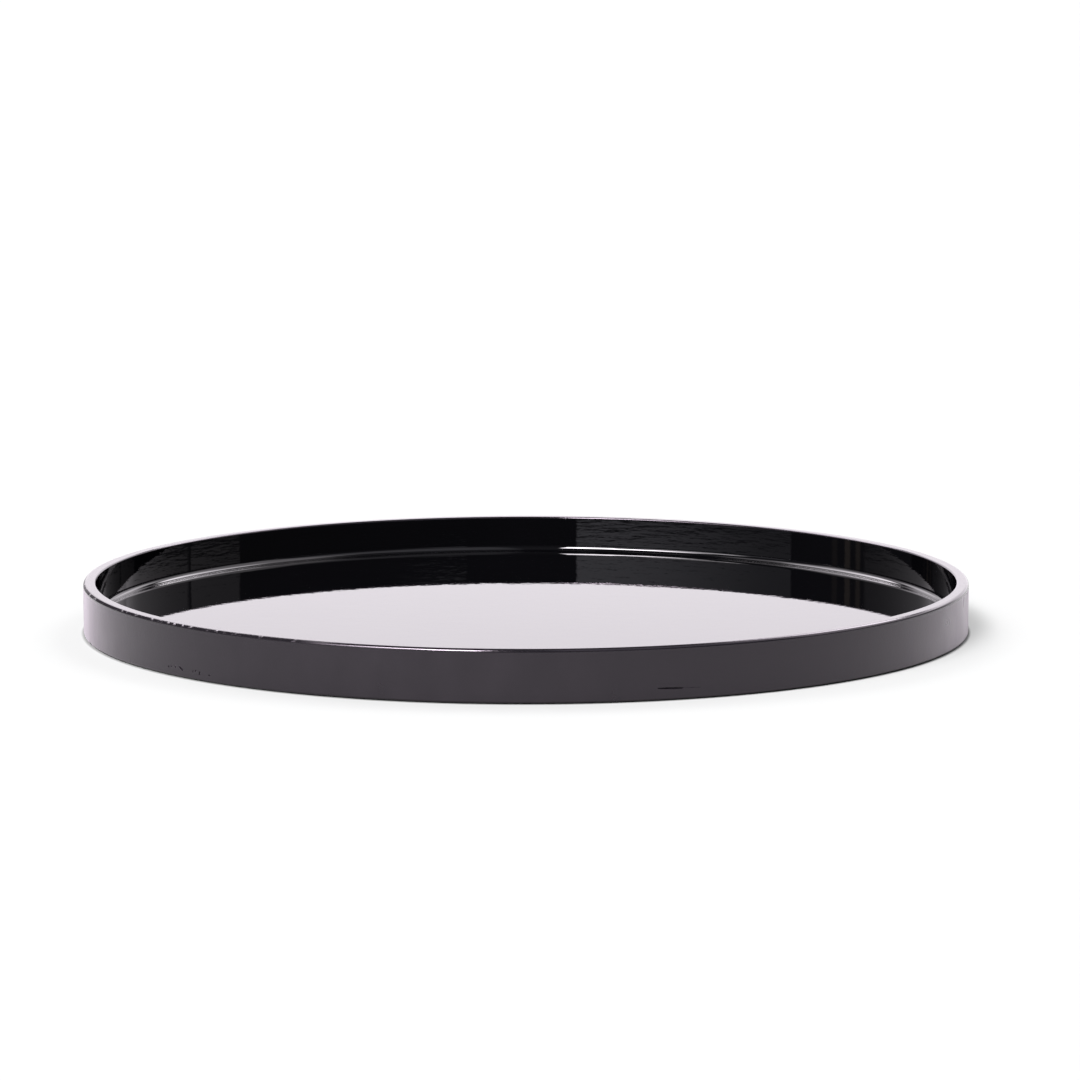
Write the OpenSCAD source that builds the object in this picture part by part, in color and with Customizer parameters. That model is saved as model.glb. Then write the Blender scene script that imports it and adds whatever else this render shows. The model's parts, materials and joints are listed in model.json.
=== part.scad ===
// Round serving tray: a wooden board with a bent-wood hoop standing on it, gloss lacquer
// in the well and satin lacquer over the rim and the outside, resting on a thin felt.
// The origin is the centre of the resting face, with +Z up.

/* [Tray] */
// Outer diameter of the finished tray
tray_d = 400; // [240:5:600]
// Height of the finished tray, from the table to the top of the rim
tray_h = 23.1; // [20:0.1:60]
// Finished thickness of the upright wall
wall_t = 5.6; // [4.5:0.1:9]

/* [Board and hoop] */
// Thickness of the base board
board_t = 4; // [3:0.5:6]
// Gap between the two ends of a bent ply, where it closes on itself
ply_gap = 0.3; // [0.1:0.1:1]
// Leg of the triangular bead that fills the corner of the well
bead_leg = 2.4; // [1:0.1:2.4]

/* [Lacquer] */
// Thickness of the levelling ground under the floor's lacquer
ground_t = 0.6; // [0.3:0.1:1.5]
// Thickness of the gloss lacquer in the well
gloss_t = 0.7; // [0.5:0.05:0.8]
// Thickness of the satin lacquer on the rim and the outside, and of the seal underneath
satin_t = 0.6; // [0.4:0.05:0.7]

/* [Edges] */
// Radius of the cove where the wall meets the floor
cove_r = 2.6; // [2.5:0.1:5]
// Radius of the outer edge of the rim
outer_edge_r = 1.5; // [0.8:0.1:1.8]
// Radius of the inner edge of the rim
inner_edge_r = 0.8; // [0.6:0.1:0.9]
// Radius of the bottom edge
bottom_edge_r = 1; // [0.8:0.1:1.5]

/* [Felt] */
// Thickness of the felt under the tray
felt_t = 0.4; // [0.4:0.1:2]
// Distance from the outer wall in to the felt's edge
felt_inset = 1.5; // [1.5:0.5:20]

/* [Hidden] */
$fn = 128;

full_turn = 360;
ply_count = 3;
cut_clear = 1; // how far a cutter reaches past what it cuts

// Radii of the finished wall, and of the wood inside its lacquer
outer_r = tray_d / 2;
inner_r = outer_r - wall_t;
wood_outer_r = outer_r - satin_t;
wood_inner_r = inner_r + gloss_t;
ply_t = (wood_outer_r - wood_inner_r) / ply_count;

// Heights above the table
sole_z = felt_t; // underside of the tray's own bottom
board_z = sole_z + satin_t;
ground_z = board_z + board_t; // the hoop stands here too
gloss_z = ground_z + ground_t;
floor_z = gloss_z + gloss_t;
wood_top_z = tray_h - satin_t;
gloss_top_z = tray_h - inner_edge_r; // the satin takes over where the inner edge starts to round
sole_r = outer_r - bottom_edge_r;
cove_foot_r = inner_r - cove_r;
cove_centre_z = floor_z + cove_r;

// What a rounded corner takes away: the outside of a circle of radius r in the corner
// whose sides run along +X and +Y; centred on the circle.
module corner_waste(r) {
    difference() {
        square(r + cut_clear);
        circle(r);
    }
}

// Half-section of the space in the well, with the cove at its foot
module well_section() {
    translate([0, floor_z])
        square([cove_foot_r, tray_h]);
    translate([0, cove_centre_z])
        square([inner_r, tray_h]);
    translate([cove_foot_r, cove_centre_z])
        circle(cove_r);
}

// Half-section of the bead: a triangle in the corner between ground and hoop
module bead_section() {
    polygon([
        [wood_inner_r - bead_leg, gloss_z],
        [wood_inner_r, gloss_z],
        [wood_inner_r, gloss_z + bead_leg],
    ]);
}

// Half-section of the board, its lower edge rounded to leave an even lacquer
module board_section() {
    difference() {
        translate([0, board_z])
            square([wood_outer_r, board_t]);
        translate([sole_r, sole_z + bottom_edge_r])
            mirror([0, 1])
                corner_waste(bottom_edge_r - satin_t);
    }
}

// Half-section of the hoop between two radii, its outer top edge rounded like the board's
module hoop_section(from_r, to_r) {
    difference() {
        translate([from_r, ground_z])
            square([to_r - from_r, wood_top_z - ground_z]);
        translate([outer_r - outer_edge_r, tray_h - outer_edge_r])
            corner_waste(outer_edge_r - satin_t);
    }
}

// Half-section of the finished rim from the sole up, with all its edges rounded
module rim_section() {
    difference() {
        translate([inner_r, sole_z])
            square([wall_t, tray_h - sole_z]);
        translate([outer_r - outer_edge_r, tray_h - outer_edge_r])
            corner_waste(outer_edge_r);
        translate([inner_r + inner_edge_r, tray_h - inner_edge_r])
            mirror([1, 0])
                corner_waste(inner_edge_r);
        translate([sole_r, sole_z + bottom_edge_r])
            mirror([0, 1])
                corner_waste(bottom_edge_r);
    }
}

// A flat disc from z up
module disc(r, z, thickness) {
    translate([0, 0, z])
        cylinder(r = r, h = thickness);
}

// One bent ply, counted from the inside; each ply's joint is a third of a turn from the next
module bent_ply(index) {
    from_r = wood_inner_r + index * ply_t;
    gap_angle = ply_gap / from_r * full_turn / (2 * PI);
    rotate([0, 0, index * full_turn / ply_count])
        rotate_extrude(angle = full_turn - gap_angle)
            hoop_section(from_r, from_r + ply_t);
}

module base_board() {
    color("#b08a5a")
        rotate_extrude()
            board_section();
}

module rim_ply_inner() {
    color("#c9a36c")
        bent_ply(0);
}

module rim_ply_middle() {
    color("#b98f58")
        bent_ply(1);
}

module rim_ply_outer() {
    color("#c9a36c")
        bent_ply(2);
}

module floor_ground() {
    color("#5a5148")
        disc(wood_inner_r, ground_z, ground_t);
}

module corner_bead() {
    color("#8a7a66")
        rotate_extrude()
            bead_section();
}

module floor_lacquer() {
    color("#050506")
        disc(cove_foot_r, gloss_z, gloss_t);
}

module wall_lacquer() {
    color("#070708")
        rotate_extrude()
            difference() {
                translate([cove_foot_r, gloss_z])
                    square([wood_inner_r - cove_foot_r, gloss_top_z - gloss_z]);
                well_section();
                bead_section();
            }
}

module satin_coat() {
    color("#1b1a1c")
        rotate_extrude()
            difference() {
                rim_section();
                square([sole_r, board_z]);
                board_section();
                hoop_section(wood_inner_r, wood_outer_r);
                square([wood_inner_r, gloss_top_z]);
            }
}

module underside_seal() {
    color("#242326")
        disc(sole_r, sole_z, satin_t);
}

module felt_base() {
    color("#101011")
        disc(outer_r - felt_inset, 0, felt_t);
}

base_board();
rim_ply_inner();
rim_ply_middle();
rim_ply_outer();
floor_ground();
corner_bead();
floor_lacquer();
wall_lacquer();
satin_coat();
underside_seal();
felt_base();
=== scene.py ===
"""Looks of a round lacquered serving tray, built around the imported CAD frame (metres, +Z up)."""
import json
import math

import bpy
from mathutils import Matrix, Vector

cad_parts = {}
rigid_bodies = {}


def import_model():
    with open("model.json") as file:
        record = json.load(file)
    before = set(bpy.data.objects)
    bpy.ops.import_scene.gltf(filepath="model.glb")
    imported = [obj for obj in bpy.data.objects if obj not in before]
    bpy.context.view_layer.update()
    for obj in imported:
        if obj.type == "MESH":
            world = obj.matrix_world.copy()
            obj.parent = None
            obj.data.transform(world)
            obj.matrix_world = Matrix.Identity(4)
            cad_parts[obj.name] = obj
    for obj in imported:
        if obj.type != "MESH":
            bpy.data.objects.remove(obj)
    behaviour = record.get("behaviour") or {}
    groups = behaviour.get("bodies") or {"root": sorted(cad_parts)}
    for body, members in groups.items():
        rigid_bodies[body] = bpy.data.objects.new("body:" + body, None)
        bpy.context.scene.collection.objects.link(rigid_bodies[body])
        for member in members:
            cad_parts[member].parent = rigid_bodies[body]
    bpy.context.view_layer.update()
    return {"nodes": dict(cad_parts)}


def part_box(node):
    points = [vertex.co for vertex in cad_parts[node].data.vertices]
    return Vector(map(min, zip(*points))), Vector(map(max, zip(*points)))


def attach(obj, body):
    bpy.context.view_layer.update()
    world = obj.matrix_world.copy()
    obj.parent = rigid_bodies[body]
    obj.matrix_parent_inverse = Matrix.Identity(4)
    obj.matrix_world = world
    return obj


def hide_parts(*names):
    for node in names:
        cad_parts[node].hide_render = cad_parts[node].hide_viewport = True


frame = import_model()

MM = 0.001
DEG = math.pi / 180

# ---------------------------------------------------------------- sizes, from the frame
satin_low, satin_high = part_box("satin_coat")
floor_low, floor_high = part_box("floor_lacquer")
felt_low, felt_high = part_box("felt_base")
wall_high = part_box("wall_lacquer")[1]
ply_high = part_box("rim_ply_outer")[1]

OUTER_R = satin_high.x  # outside of the finished wall
WALL_T = 5.6 * MM
INNER_R = OUTER_R - WALL_T
TOP_Z = satin_high.z
SOLE_Z = satin_low.z  # underside of the tray's own bottom, on top of the felt
SEAL_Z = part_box("underside_seal")[1].z
FLOOR_Z = floor_high.z
GROUND_TOP_Z = floor_low.z  # underside of the gloss lacquer
WOOD_INNER_R = wall_high.x
WOOD_OUTER_R = ply_high.x
WOOD_TOP_Z = ply_high.z
GLOSS_TOP_Z = wall_high.z  # the satin takes over here
FELT_R = felt_high.x
COVE_R = 2.6 * MM
OUTER_EDGE_R = 1.5 * MM
INNER_EDGE_R = 0.8 * MM
BOTTOM_EDGE_R = 1.0 * MM
BEAD_LEG = 2.4 * MM
SOLE_R = OUTER_R - BOTTOM_EDGE_R
ON_AXIS = 1e-9  # a point this near to the tray's axis is on it
ON_WALL = 0.01 * MM  # and one this near to the outside of the wall is on that


# ---------------------------------------------------------------- half-sections
# A section is a closed outline of (radius, height) points in an anticlockwise order, kept as runs.
# Each point carries its outward normal, so that a curved run shades as a true curve.
def straight(start, end, steps=1):
    """A straight run from start to end."""
    dr, dz = end[0] - start[0], end[1] - start[1]
    length = math.hypot(dr, dz)
    normal = (dz / length, -dr / length)
    return [(start[0] + dr * i / steps, start[1] + dz * i / steps, *normal) for i in range(steps + 1)]


def arc(centre, radius, start, end, steps, hollow=False):
    """A round run about centre, from the angle start to end in degrees; hollow faces its centre."""
    side = -1 if hollow else 1
    run = []
    for i in range(steps + 1):
        angle = (start + (end - start) * i / steps) * DEG
        c, s = math.cos(angle), math.sin(angle)
        run.append((centre[0] + radius * c, centre[1] + radius * s, side * c, side * s))
    return run


def even_turn(count):
    """Angles of a whole turn in even steps, from the front."""
    return [2 * math.pi * i / count for i in range(count)]


def finer_turn(count, zones):
    """Angles of a whole turn, in even steps but finer inside the zones (start, end, step), in degrees."""
    angles = [360 * i / count for i in range(count)]
    for start, end, step in zones:
        angles = [a for a in angles if not start <= (a + 180) % 360 - 180 <= end]
        steps = round((end - start) / step)
        angles += [(start + (end - start) * i / steps) % 360 for i in range(steps + 1)]
    return [a * DEG for a in sorted(angles)]


def joined(runs):
    """The (radius, height) points of a closed outline, and where in it each of its runs starts."""
    outline, starts = [], []
    for run in runs:
        starts.append(len(outline))
        outline.extend((point[0], point[1]) for point in run[:-1])  # its last point starts the next run
    return outline, starts


def facing(point, angle, dent):
    """The outward normal of a section point that has been spun to angle and pushed in by dent."""
    r, z, across, up = point
    tilt = 0.0
    if dent and r > OUTER_R - ON_WALL:
        step = 2 * ON_WALL
        up += (dent(angle, z + step) - dent(angle, z - step)) / (2 * step)
        tilt = (dent(angle + step / r, z) - dent(angle - step / r, z)) / (2 * step)
    length = math.sqrt(across * across + up * up + tilt * tilt)
    c, s = math.cos(angle), math.sin(angle)
    return ((across * s + tilt * c) / length, (-across * c + tilt * s) / length, up / length)


def spun(name, runs, turn, dent=None):
    """A closed solid: the section spun about Z. dent(angle, height) pushes outer-wall points inwards.

    Angles are measured from the front (-Y) towards the right (+X).
    """
    outline, starts = joined(runs)
    verts, rings, facings = [], [], []
    on_axis = {}
    for a in turn:
        c, s = math.cos(a), math.sin(a)
        ring = []
        for j, (r, z) in enumerate(outline):
            if r < ON_AXIS and j in on_axis:
                ring.append(on_axis[j])
                continue
            if r < ON_AXIS:
                on_axis[j] = len(verts)
            if dent and r > OUTER_R - ON_WALL:
                r -= dent(a, z)
            ring.append(len(verts))
            verts.append((r * s, -r * c, z))
        rings.append(ring)
        facings.append([[facing(point, a, dent) for point in run] for run in runs])

    faces, normals = [], []
    for i in range(len(turn)):
        k = (i + 1) % len(turn)
        for number, run in enumerate(runs):
            for m in range(len(run) - 1):
                j0 = starts[number] + m
                j1 = (j0 + 1) % len(outline)
                face, shading = [], []
                for at, j, step in ((i, j0, m), (k, j0, m), (k, j1, m + 1), (i, j1, m + 1)):
                    if rings[at][j] not in face:
                        face.append(rings[at][j])
                        shading.append(facings[at][number][step])
                if len(face) > 2:
                    faces.append(face)
                    normals.extend(shading)

    mesh = bpy.data.meshes.new(name)
    mesh.from_pydata(verts, [], faces)
    mesh.polygons.foreach_set("use_smooth", [True] * len(faces))
    mesh.normals_split_custom_set(normals)
    mesh.update()
    piece = bpy.data.objects.new(name, mesh)
    bpy.context.scene.collection.objects.link(piece)
    return piece


# ---------------------------------------------------------------- node helpers
def new_material(name):
    """A material with an empty Principled shader, its node tree and that shader."""
    material = bpy.data.materials.new(name)
    material.use_nodes = True
    tree = material.node_tree
    tree.nodes.clear()
    shader = tree.nodes.new("ShaderNodeBsdfPrincipled")
    output = tree.nodes.new("ShaderNodeOutputMaterial")
    tree.links.new(shader.outputs[0], output.inputs[0])
    return material, tree, shader


def math_node(tree, operation, a, b=None):
    """A Math node on one or two numbers or sockets."""
    node = tree.nodes.new("ShaderNodeMath")
    node.operation = operation
    for socket, value in zip(node.inputs, (a, b)):
        if value is None:
            continue
        if isinstance(value, (int, float)):
            socket.default_value = value
        else:
            tree.links.new(value, socket)
    return node.outputs[0]


def ramp(tree, value, low, high, to_low=0.0, to_high=1.0):
    """Smoothly takes value from low..high to to_low..to_high, and holds it outside."""
    node = tree.nodes.new("ShaderNodeMapRange")
    node.interpolation_type = "SMOOTHSTEP"
    tree.links.new(value, node.inputs["Value"])
    node.inputs["From Min"].default_value = low
    node.inputs["From Max"].default_value = high
    node.inputs["To Min"].default_value = to_low
    node.inputs["To Max"].default_value = to_high
    return node.outputs["Result"]


def window(tree, limits):
    """One where every value is inside its (value, low, high, soft) limits, and zero outside."""
    inside = None
    for value, low, high, soft in limits:
        for edge in (ramp(tree, value, low - soft, low + soft),
                     ramp(tree, value, high - soft, high + soft, 1.0, 0.0)):
            inside = edge if inside is None else math_node(tree, "MULTIPLY", inside, edge)
    return inside


def place(tree):
    """The point in the tray's own frame, and its three parts."""
    point = tree.nodes.new("ShaderNodeTexCoord").outputs["Object"]
    split = tree.nodes.new("ShaderNodeSeparateXYZ")
    tree.links.new(point, split.inputs[0])
    return point, split.outputs


def from_axis(tree, point):
    """How far the point is from the tray's axis."""
    level = tree.nodes.new("ShaderNodeVectorMath")
    level.operation = "MULTIPLY"
    level.inputs[1].default_value = (1.0, 1.0, 0.0)
    tree.links.new(point, level.inputs[0])
    length = tree.nodes.new("ShaderNodeVectorMath")
    length.operation = "LENGTH"
    tree.links.new(level.outputs[0], length.inputs[0])
    return length.outputs["Value"]


def noise(tree, point, along, up, detail=2.0, roughness=0.5, shift=0.0):
    """Noise with about along features a metre across the tray and up features a metre upwards."""
    mapping = tree.nodes.new("ShaderNodeMapping")
    mapping.inputs["Scale"].default_value = (along, along, up)
    mapping.inputs["Location"].default_value = (shift, shift, shift)
    tree.links.new(point, mapping.inputs["Vector"])
    texture = tree.nodes.new("ShaderNodeTexNoise")
    texture.inputs["Scale"].default_value = 1.0
    texture.inputs["Detail"].default_value = detail
    texture.inputs["Roughness"].default_value = roughness
    tree.links.new(mapping.outputs[0], texture.inputs["Vector"])
    return texture.outputs[0]


def bump(tree, height, distance, under=None):
    """Bump of the given depth in metres, on top of another bump if there is one."""
    node = tree.nodes.new("ShaderNodeBump")
    node.inputs["Distance"].default_value = distance
    tree.links.new(height, node.inputs["Height"])
    if under is not None:
        tree.links.new(under, node.inputs["Normal"])
    return node.outputs[0]


def mix_number(tree, factor, first, second):
    """From first to second as factor goes from 0 to 1; each is a number or a socket."""
    node = tree.nodes.new("ShaderNodeMix")
    node.data_type = "FLOAT"
    for index, value in ((0, factor), (2, first), (3, second)):
        if isinstance(value, (int, float)):
            node.inputs[index].default_value = value
        else:
            tree.links.new(value, node.inputs[index])
    return node.outputs[0]


def mix_colour(tree, factor, first, second):
    """From one colour to another as the factor socket goes from 0 to 1."""
    node = tree.nodes.new("ShaderNodeMix")
    node.data_type = "RGBA"
    tree.links.new(factor, node.inputs["Factor"])
    node.inputs["A"].default_value = (*first, 1.0)
    node.inputs["B"].default_value = (*second, 1.0)
    return node.outputs["Result"]


# ---------------------------------------------------------------- materials
MARKED_LOW, MARKED_HIGH = 2.4 * MM, 6.0 * MM  # the heights that the marks along the seam lie between
MARK_SHALLOW, MARK_DEEP = 0.03 * MM, 0.15 * MM  # a mark starts to roughen the lacquer and cut its reflection as painted shade, and has fully done so

# Where the outer edge has wear and is darkened by painted shade, at the front left: (low, high, soft edge)
# across, from the front, and up
WEAR_SHADE_ACROSS = (-0.99 * OUTER_R, -0.43 * OUTER_R, 0.07 * OUTER_R)
WEAR_SHADE_FRONT = (-OUTER_R, 0.0, 0.1 * OUTER_R)
WEAR_SHADE_UP = (TOP_Z - 1.15 * MM, TOP_Z - 0.14 * MM, 0.09 * MM)


def gloss_lacquer():
    """Mirror-gloss black lacquer, brushed on, with the faint ripple that brushing leaves."""
    material, tree, shader = new_material("gloss_lacquer")
    point, _ = place(tree)
    shader.inputs["IOR"].default_value = 1.5
    haze = noise(tree, point, 60, 60, 3.0)
    tree.links.new(ramp(tree, haze, 0.3, 0.7, 0.008, 0.02), shader.inputs["Roughness"])
    depth = noise(tree, point, 25, 25)
    tree.links.new(mix_colour(tree, depth, (0.0004, 0.0004, 0.0006), (0.0008, 0.0008, 0.0011)),
                   shader.inputs["Base Color"])
    ripple = bump(tree, noise(tree, point, 260, 260, 2.0), 8e-6)
    swell = bump(tree, noise(tree, point, 70, 420, 3.0, 0.55, 3.7), 1.5e-5, ripple)
    tree.links.new(swell, shader.inputs["Normal"])
    return material


def satin_lacquer():
    """Satin black lacquer with a fine orange peel, rough in the seam marks and where its edge has wear, and
    darkened there by painted shade.
    """
    material, tree, shader = new_material("satin_lacquer")
    point, (x, y, z) = place(tree)
    shader.inputs["IOR"].default_value = 1.5
    shader.inputs["Specular Tint"].default_value = (1.0, 0.9, 1.0, 1.0)
    # the seam marks, and the stretch of wear on the outer edge, are rough, and their reflection is cut down
    # as painted shade
    sunk = ramp(tree, from_axis(tree, point), OUTER_R - MARK_DEEP, OUTER_R - MARK_SHALLOW, 1.0, 0.0)
    low = window(tree, [(z, MARKED_LOW, MARKED_HIGH, 0.1 * MM)])
    marked = math_node(tree, "MULTIPLY", sunk, low)
    # the edge wear: partly real roughness, partly painted shade that darkens the edge
    wear_and_shade = window(tree, [(x, *WEAR_SHADE_ACROSS), (y, *WEAR_SHADE_FRONT), (z, *WEAR_SHADE_UP)])
    wear_and_shade = math_node(tree, "MULTIPLY", wear_and_shade, ramp(tree, noise(tree, point, 260, 260, 3.0), 0.36, 0.44))
    dulled_and_shaded = math_node(tree, "MAXIMUM", marked, wear_and_shade)
    mottle = noise(tree, point, 70, 45, 3.0)
    # the rim's top is rubbed smoother than the upright wall
    rim = ramp(tree, z, TOP_Z - 2.2 * MM, TOP_Z - 0.9 * MM)
    rubbed = mix_number(tree, rim, ramp(tree, mottle, 0.25, 0.75, 0.27, 0.35), 0.1)
    tree.links.new(mix_number(tree, dulled_and_shaded, rubbed, 0.9), shader.inputs["Roughness"])
    # painted shade: the specular level drops in the seam marks and on the edge wear, so that they reflect
    # little
    tree.links.new(mix_number(tree, dulled_and_shaded, 0.5, 0.04), shader.inputs["Specular IOR Level"])
    upright = window(tree, [(z, BOTTOM_EDGE_R, TOP_Z - OUTER_EDGE_R, 0.5 * MM)])
    tree.links.new(mix_number(tree, upright, 0.0, 0.5), shader.inputs["Sheen Weight"])
    shader.inputs["Sheen Roughness"].default_value = 0.3
    shader.inputs["Sheen Tint"].default_value = (1.0, 0.88, 1.0, 1.0)
    tree.links.new(mix_colour(tree, mottle, (0.003, 0.0027, 0.0036), (0.008, 0.007, 0.0085)),
                   shader.inputs["Base Color"])
    peel = bump(tree, noise(tree, point, 1100, 1100, 2.0), 2.4e-5)
    waves = bump(tree, noise(tree, point, 160, 120, 2.0, 0.5, 1.3), 2.8e-5, peel)
    tree.links.new(waves, shader.inputs["Normal"])
    return material


def felt():
    """Short-napped black felt."""
    material, tree, shader = new_material("felt")
    point, _ = place(tree)
    shader.inputs["Roughness"].default_value = 0.95
    shader.inputs["Sheen Weight"].default_value = 0.35
    shader.inputs["Sheen Roughness"].default_value = 0.5
    nap = noise(tree, point, 2600, 2600, 4.0, 0.7)
    tree.links.new(mix_colour(tree, nap, (0.004, 0.004, 0.0045), (0.02, 0.02, 0.021)),
                   shader.inputs["Base Color"])
    tree.links.new(bump(tree, nap, 1.5e-4), shader.inputs["Normal"])
    return material


def wood(name, dark, light, along, across):
    """Bare wood with its grain drawn out one way."""
    material, tree, shader = new_material(name)
    point, _ = place(tree)
    mapping = tree.nodes.new("ShaderNodeMapping")
    mapping.inputs["Scale"].default_value = (along, across, across)
    tree.links.new(point, mapping.inputs["Vector"])
    texture = tree.nodes.new("ShaderNodeTexNoise")
    texture.inputs["Scale"].default_value = 1.0
    texture.inputs["Detail"].default_value = 5.0
    tree.links.new(mapping.outputs[0], texture.inputs["Vector"])
    grain = texture.outputs[0]
    tree.links.new(mix_colour(tree, grain, dark, light), shader.inputs["Base Color"])
    tree.links.new(ramp(tree, grain, 0.3, 0.7, 0.6, 0.75), shader.inputs["Roughness"])
    tree.links.new(bump(tree, grain, 5e-5), shader.inputs["Normal"])
    return material


def filler(name, dark, light, roughness):
    """A matt brushed or trowelled coat."""
    material, tree, shader = new_material(name)
    point, _ = place(tree)
    patches = noise(tree, point, 120, 120, 4.0)
    tree.links.new(mix_colour(tree, patches, dark, light), shader.inputs["Base Color"])
    tree.links.new(ramp(tree, patches, 0.3, 0.7, roughness - 0.06, roughness + 0.06),
                   shader.inputs["Roughness"])
    tree.links.new(bump(tree, patches, 3e-5), shader.inputs["Normal"])
    return material


def paint(piece, material):
    """Gives a piece its only material."""
    piece.data.materials.clear()
    piece.data.materials.append(material)


def repaint(node, material):
    """Gives a CAD node that stays its material, in every slot of its object."""
    thing = frame["nodes"][node]
    for holder in [thing] + list(thing.children_recursive):
        for held in getattr(holder, "material_slots", []):
            held.material = material


# ---------------------------------------------------------------- pieces
# Damage along the seam between base board and hoop. Angles are from the front towards the right, in
# degrees; up is the height in mm; slant is from level, rising to the right; other sizes are in mm.
SEAM_MARKS = [
    {"angle": 17.55, "up": 5.22, "slant": -2, "length": 11.8, "width": 0.75, "depth": 0.5},
    {"angle": 20.4, "up": 5.02, "slant": -2, "length": 8.0, "width": 0.3, "depth": 0.1},
    {"angle": -46.97, "up": 4.1, "slant": -27, "length": 3.4, "width": 0.85, "depth": 0.5},
    {"angle": -49.44, "up": 3.91, "slant": 75, "length": 1.2, "width": 0.6, "depth": 0.32},
    {"angle": -48.89, "up": 4.38, "slant": 80, "length": 1.3, "width": 0.6, "depth": 0.36},
    {"angle": -48.08, "up": 4.4, "slant": -55, "length": 1.4, "width": 0.55, "depth": 0.32},
    {"angle": -44.73, "up": 3.72, "slant": -70, "length": 1.1, "width": 0.55, "depth": 0.32},
    {"angle": -44.22, "up": 4.28, "slant": 60, "length": 1.1, "width": 0.55, "depth": 0.3},
    {"angle": -43.54, "up": 3.5, "slant": 78, "length": 2.0, "width": 0.6, "depth": 0.4},
    {"angle": -41.84, "up": 3.3, "slant": 0, "length": 0.9, "width": 0.75, "depth": 0.36},
]
MARKED_ZONES = [(-50.2, -41.3, 0.04), (15.4, 22.0, 0.12)]  # start, end and mesh step, in degrees


def mark_depth(angle, height):
    """How far the seam marks cut into the outside wall."""
    turn = (angle / DEG + 180) % 360 - 180
    marked = [start <= turn <= end for start, end, _ in MARKED_ZONES]
    if not any(marked) or not MARKED_LOW < height < MARKED_HIGH:
        return 0.0
    depth = 0.0
    for mark in SEAM_MARKS:
        along = (turn - mark["angle"]) * DEG * OUTER_R / MM
        up = height / MM - mark["up"]
        c, s = math.cos(mark["slant"] * DEG), math.sin(mark["slant"] * DEG)
        u = (along * c + up * s) * 2 / mark["length"]
        v = (up * c - along * s) * 2 / mark["width"]
        inside = 1 - u ** 4 - v ** 2
        if inside > 0:
            depth = max(depth, mark["depth"] * MM * inside * (2 - inside))
    return depth


def well_lining():
    """The gloss lacquer of floor, cove and inside wall, as one unbroken coat."""
    cove_foot_r = INNER_R - COVE_R
    cove_centre = (cove_foot_r, FLOOR_Z + COVE_R)
    runs = [
        straight((0.0, GROUND_TOP_Z), (WOOD_INNER_R - BEAD_LEG, GROUND_TOP_Z)),
        straight((WOOD_INNER_R - BEAD_LEG, GROUND_TOP_Z), (WOOD_INNER_R, GROUND_TOP_Z + BEAD_LEG)),
        straight((WOOD_INNER_R, GROUND_TOP_Z + BEAD_LEG), (WOOD_INNER_R, GLOSS_TOP_Z)),
        straight((WOOD_INNER_R, GLOSS_TOP_Z), (INNER_R, GLOSS_TOP_Z)),
        straight((INNER_R, GLOSS_TOP_Z), (INNER_R, cove_centre[1]), 4),
        arc(cove_centre, COVE_R, 0, -90, 20, hollow=True),
        straight((cove_foot_r, FLOOR_Z), (0.0, FLOOR_Z), 10),
        straight((0.0, FLOOR_Z), (0.0, GROUND_TOP_Z)),
    ]
    piece = spun("well_lining", runs, even_turn(720))
    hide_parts("floor_lacquer", "wall_lacquer")
    return piece


def outer_coat():
    """The satin lacquer of the rim's top, the outside wall and the bottom edge."""
    outer_edge = (OUTER_R - OUTER_EDGE_R, TOP_Z - OUTER_EDGE_R)
    inner_edge = (INNER_R + INNER_EDGE_R, TOP_Z - INNER_EDGE_R)
    bottom_edge = (SOLE_R, SOLE_Z + BOTTOM_EDGE_R)
    coat = OUTER_R - WOOD_OUTER_R
    runs = [
        arc(bottom_edge, BOTTOM_EDGE_R, -90, 0, 12),
        straight((OUTER_R, bottom_edge[1]), (OUTER_R, MARKED_LOW)),
        straight((OUTER_R, MARKED_LOW), (OUTER_R, MARKED_HIGH), 32),
        straight((OUTER_R, MARKED_HIGH), (OUTER_R, outer_edge[1]), 6),
        arc(outer_edge, OUTER_EDGE_R, 0, 90, 16),
        straight((outer_edge[0], TOP_Z), (inner_edge[0], TOP_Z), 2),
        arc(inner_edge, INNER_EDGE_R, 90, 180, 12),
        straight((INNER_R, GLOSS_TOP_Z), (WOOD_INNER_R, GLOSS_TOP_Z)),
        straight((WOOD_INNER_R, GLOSS_TOP_Z), (WOOD_INNER_R, WOOD_TOP_Z)),
        straight((WOOD_INNER_R, WOOD_TOP_Z), (outer_edge[0], WOOD_TOP_Z)),
        arc(outer_edge, OUTER_EDGE_R - coat, 90, 0, 8, hollow=True),
        straight((WOOD_OUTER_R, outer_edge[1]), (WOOD_OUTER_R, bottom_edge[1])),
        arc(bottom_edge, BOTTOM_EDGE_R - coat, 0, -90, 8, hollow=True),
        straight((SOLE_R, SOLE_Z + coat), (SOLE_R, SOLE_Z)),
    ]
    piece = spun("outer_coat", runs, finer_turn(720, MARKED_ZONES), mark_depth)
    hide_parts("satin_coat")
    return piece


def sole():
    """The sealing coat on the underside."""
    runs = [
        straight((0.0, SOLE_Z), (SOLE_R, SOLE_Z), 6),
        straight((SOLE_R, SOLE_Z), (SOLE_R, SEAL_Z)),
        straight((SOLE_R, SEAL_Z), (0.0, SEAL_Z)),
        straight((0.0, SEAL_Z), (0.0, SOLE_Z)),
    ]
    piece = spun("sole", runs, even_turn(360))
    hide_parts("underside_seal")
    return piece


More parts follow.
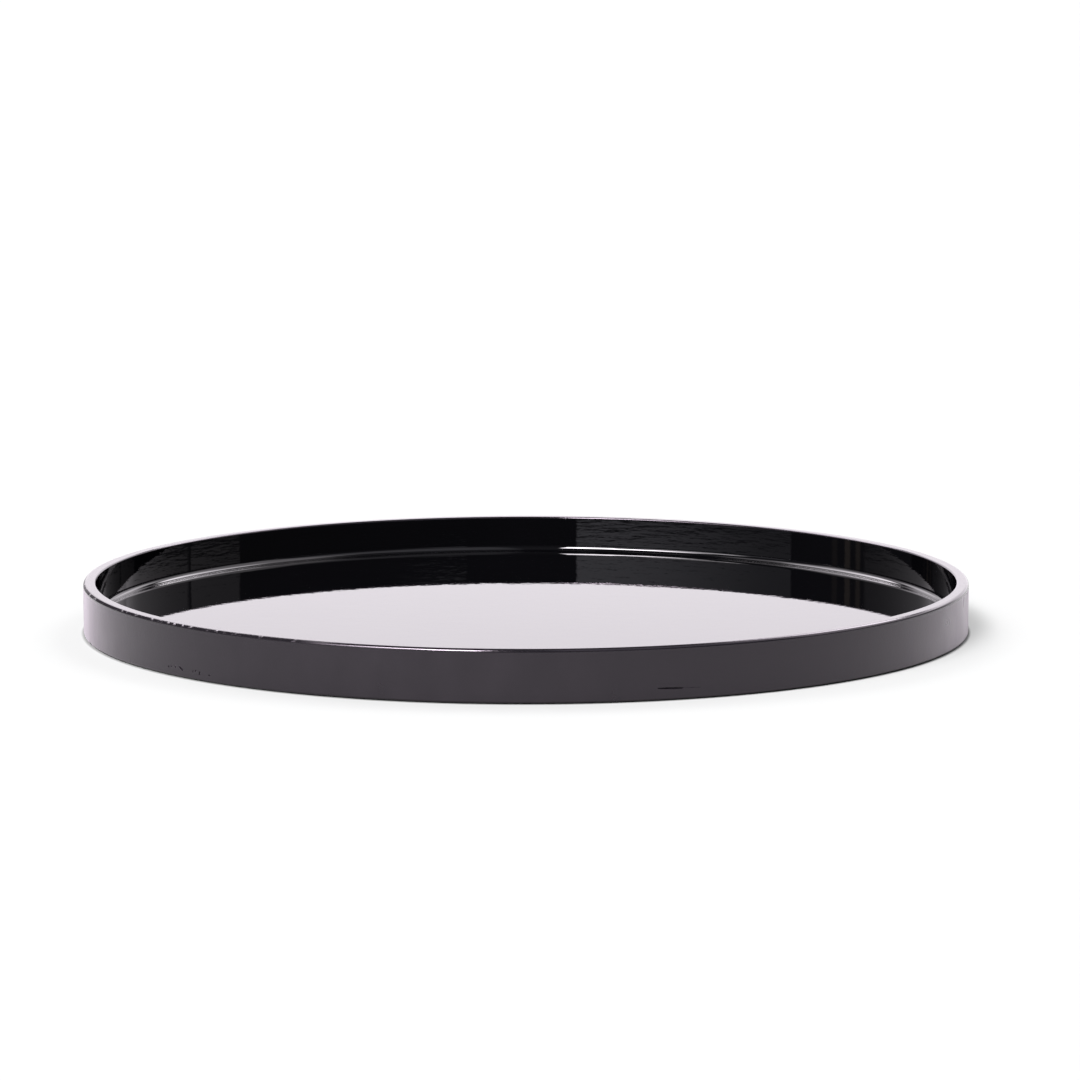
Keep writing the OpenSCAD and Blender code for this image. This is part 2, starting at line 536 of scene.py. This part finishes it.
def felt_sheet():
    """The felt that the tray stands on, with a softly rounded cut edge."""
    edge = (felt_high.z - felt_low.z) / 2
    runs = [
        straight((0.0, felt_low.z), (FELT_R - edge, felt_low.z), 6),
        arc((FELT_R - edge, felt_low.z + edge), edge, -90, 90, 10),
        straight((FELT_R - edge, felt_high.z), (0.0, felt_high.z), 6),
        straight((0.0, felt_high.z), (0.0, felt_low.z)),
    ]
    piece = spun("felt_sheet", runs, even_turn(360))
    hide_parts("felt_base")
    return piece


# ---------------------------------------------------------------- studio
TABLE_GLOW = 0.39  # what the table gives off itself, so that it stays white in the soft light
CONTACT = 1.5 * MM  # that glow fades in over this width, from the tray's outline outwards


def studio_floor():
    """A plain pale table that glows a little, but not under the tray."""
    half = 20.0
    mesh = bpy.data.meshes.new("studio_floor")
    corners = [(-half, -half, 0), (half, -half, 0), (half, half, 0), (-half, half, 0)]
    mesh.from_pydata(corners, [], [(0, 1, 2, 3)])
    floor = bpy.data.objects.new("studio_floor", mesh)
    bpy.context.scene.collection.objects.link(floor)
    material, tree, shader = new_material("studio_floor")
    point, _ = place(tree)
    shader.inputs["Roughness"].default_value = 0.8
    shader.inputs["Specular IOR Level"].default_value = 0.0
    tone = noise(tree, point, 3, 3)
    tree.links.new(mix_colour(tree, tone, (0.189, 0.2, 0.189), (0.197, 0.208, 0.197)),
                   shader.inputs["Base Color"])
    shader.inputs["Emission Color"].default_value = (1.0, 1.0, 1.0, 1.0)
    lit = ramp(tree, from_axis(tree, point), OUTER_R, OUTER_R + CONTACT, 0.0, TABLE_GLOW)
    tree.links.new(lit, shader.inputs["Emission Strength"])
    paint(floor, material)


# The lit parts of the studio. Turn is how far round to the left of the camera and lift how high, in
# degrees; soft is the half-width of their edges; strength is at the start and the end of the turn.
WHITE = (1.0, 0.944, 1.0)
COOL = (0.98, 0.96, 1.06)
WARM = (1.0, 0.8, 0.66)
STUDIO_AREAS = [
    # the backdrop, and what stands beside it
    {"turn": (146, 218), "lift": (-5, 16), "soft": (10, 2), "colour": WHITE, "strength": (1.68, 1.68)},
    {"turn": (136, 224), "lift": (16.5, 26), "soft": (6, 3), "colour": WHITE, "strength": (3.0, 3.0)},
    {"turn": (108, 146), "lift": (8.3, 16), "soft": (1, 0.2), "colour": WHITE, "strength": (0.18, 0.6)},
    {"turn": (218, 251.8), "lift": (8.4, 16), "soft": (1, 0.1), "colour": WHITE, "strength": (0.7, 0.36)},
    {"turn": (253.2, 272.5), "lift": (8.3, 16), "soft": (0.4, 0.1), "colour": WHITE, "strength": (0.4, 0.4)},
    {"turn": (94.5, 96.5), "lift": (7, 14), "soft": (0.5, 1), "colour": WARM, "strength": (0.12, 0.12)},
    {"turn": (99.6, 101.7), "lift": (7, 14), "soft": (0.5, 1), "colour": WARM, "strength": (0.35, 0.35)},
    {"turn": (104.2, 106), "lift": (7, 14), "soft": (0.5, 1), "colour": WARM, "strength": (0.25, 0.25)},
    # pale upper walls to the sides
    {"turn": (96, 138), "lift": (16, 62), "soft": (5, 3), "colour": WHITE, "strength": (1.3, 1.3)},
    {"turn": (104, 162), "lift": (31, 52), "soft": (4, 2), "colour": WHITE, "strength": (2.0, 11.0)},
    {"turn": (222, 282), "lift": (16, 62), "soft": (6, 3), "colour": WHITE, "strength": (1.7, 1.7)},
    {"turn": (198, 250), "lift": (32, 52), "soft": (4, 2), "colour": WHITE, "strength": (12.0, 0.5)},
    {"turn": (282, 352), "lift": (30, 88), "soft": (6, 4), "colour": COOL, "strength": (0.6, 0.5)},
    # the dimly lit wall behind the camera
    {"turn": (14, 79.3), "lift": (8, 22), "soft": (0.4, 0.4), "colour": COOL, "strength": (1.6, 0.4)},
    {"turn": (319, 343), "lift": (8.9, 20), "soft": (0.5, 0.3), "colour": COOL, "strength": (0.0, 0.5)},
    # the main light, high to the camera's left
    {"turn": (12.5, 27), "lift": (31, 56), "soft": (0.8, 3), "colour": WHITE, "strength": (48.0, 54.0)},
    {"turn": (27, 46), "lift": (38.5, 54.5), "soft": (0.8, 3), "colour": WHITE, "strength": (60.0, 44.0)},
    {"turn": (46, 62), "lift": (38, 54), "soft": (1, 3), "colour": WHITE, "strength": (34.0, 8.0)},
    {"turn": (36, 66), "lift": (22, 33), "soft": (4, 3), "colour": WHITE, "strength": (9.0, 9.0)},
]
ROOM_LOW, ROOM_HIGH = 0.09, 0.14  # the unlit room near the horizon, and its ceiling


def glow(tree, colour, strength, under=None):
    """A colour times a strength, added to what is there already."""
    scale = tree.nodes.new("ShaderNodeVectorMath")
    scale.operation = "SCALE"
    scale.inputs[0].default_value = colour
    tree.links.new(strength, scale.inputs["Scale"])
    if under is None:
        return scale.outputs[0]
    add = tree.nodes.new("ShaderNodeVectorMath")
    tree.links.new(under, add.inputs[0])
    tree.links.new(scale.outputs[0], add.inputs[1])
    return add.outputs[0]


def studio_world():
    """The studio as seen from the tray: a white backdrop, pale side walls and a soft light high in front."""
    world = bpy.data.worlds.new("studio")
    bpy.context.scene.world = world
    world.use_nodes = True
    tree = world.node_tree
    tree.nodes.clear()
    direction = tree.nodes.new("ShaderNodeTexCoord").outputs["Generated"]
    split = tree.nodes.new("ShaderNodeSeparateXYZ")
    tree.links.new(direction, split.inputs[0])
    x, y, z = split.outputs
    turn = math_node(tree, "ARCTAN2", math_node(tree, "MULTIPLY", x, -1.0),
                     math_node(tree, "MULTIPLY", y, -1.0))
    turn = math_node(tree, "FLOORED_MODULO", math_node(tree, "MULTIPLY", turn, 1 / DEG), 360.0)
    lift = math_node(tree, "MULTIPLY", math_node(tree, "ARCSINE", z), 1 / DEG)

    light = glow(tree, COOL, ramp(tree, lift, 18.0, 45.0, ROOM_LOW, ROOM_HIGH))
    for area in STUDIO_AREAS:
        sides, ends = area["soft"]
        inside = window(tree, [(turn, *area["turn"], sides), (lift, *area["lift"], ends)])
        strength = ramp(tree, turn, *area["turn"], *area["strength"])
        light = glow(tree, area["colour"], math_node(tree, "MULTIPLY", inside, strength), light)
    background = tree.nodes.new("ShaderNodeBackground")
    tree.links.new(light, background.inputs["Color"])
    output = tree.nodes.new("ShaderNodeOutputWorld")
    tree.links.new(background.outputs[0], output.inputs[0])


# The camera's place, in outer radii from the middle of the tray's underside
CAMERA_BACK = 10.293
CAMERA_UP = 1.685
CAMERA_SIDE = 0.0315
CAMERA_PITCH = 0.1435  # radians below level
SENSOR_WIDTH = 36.0  # mm
CAMERA_LENS = 153.0  # mm


def camera():
    """A long lens, some way off and a little above the tray."""
    data = bpy.data.cameras.new("camera")
    data.lens = CAMERA_LENS
    data.sensor_width = SENSOR_WIDTH
    data.clip_start, data.clip_end = 0.05, 100.0
    eye = bpy.data.objects.new("camera", data)
    eye.location = (CAMERA_SIDE * OUTER_R, -CAMERA_BACK * OUTER_R, CAMERA_UP * OUTER_R)
    eye.rotation_euler = (math.pi / 2 - CAMERA_PITCH, 0.0, 0.0)
    bpy.context.scene.collection.objects.link(eye)
    bpy.context.scene.camera = eye


# ---------------------------------------------------------------- the scene
camera()
studio_floor()
studio_world()
bpy.context.scene.view_settings.view_transform = "Standard"

gloss = gloss_lacquer()
satin = satin_lacquer()
sealer = filler("sealer", (0.012, 0.0115, 0.0125), (0.022, 0.021, 0.023), 0.6)
for build, material in ((well_lining, gloss), (outer_coat, satin), (sole, sealer), (felt_sheet, felt())):
    piece = build()
    paint(piece, material)
    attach(piece, "root")

repaint("base_board", wood("board", (0.26, 0.16, 0.08), (0.48, 0.33, 0.18), 15, 260))
veneer = wood("bent_ply", (0.34, 0.22, 0.12), (0.56, 0.4, 0.23), 40, 500)
for node in ("rim_ply_inner", "rim_ply_middle", "rim_ply_outer"):
    repaint(node, veneer)
repaint("corner_bead", wood("bead", (0.22, 0.15, 0.09), (0.36, 0.26, 0.16), 60, 400))
repaint("floor_ground", filler("ground", (0.07, 0.06, 0.05), (0.12, 0.1, 0.085), 0.8))
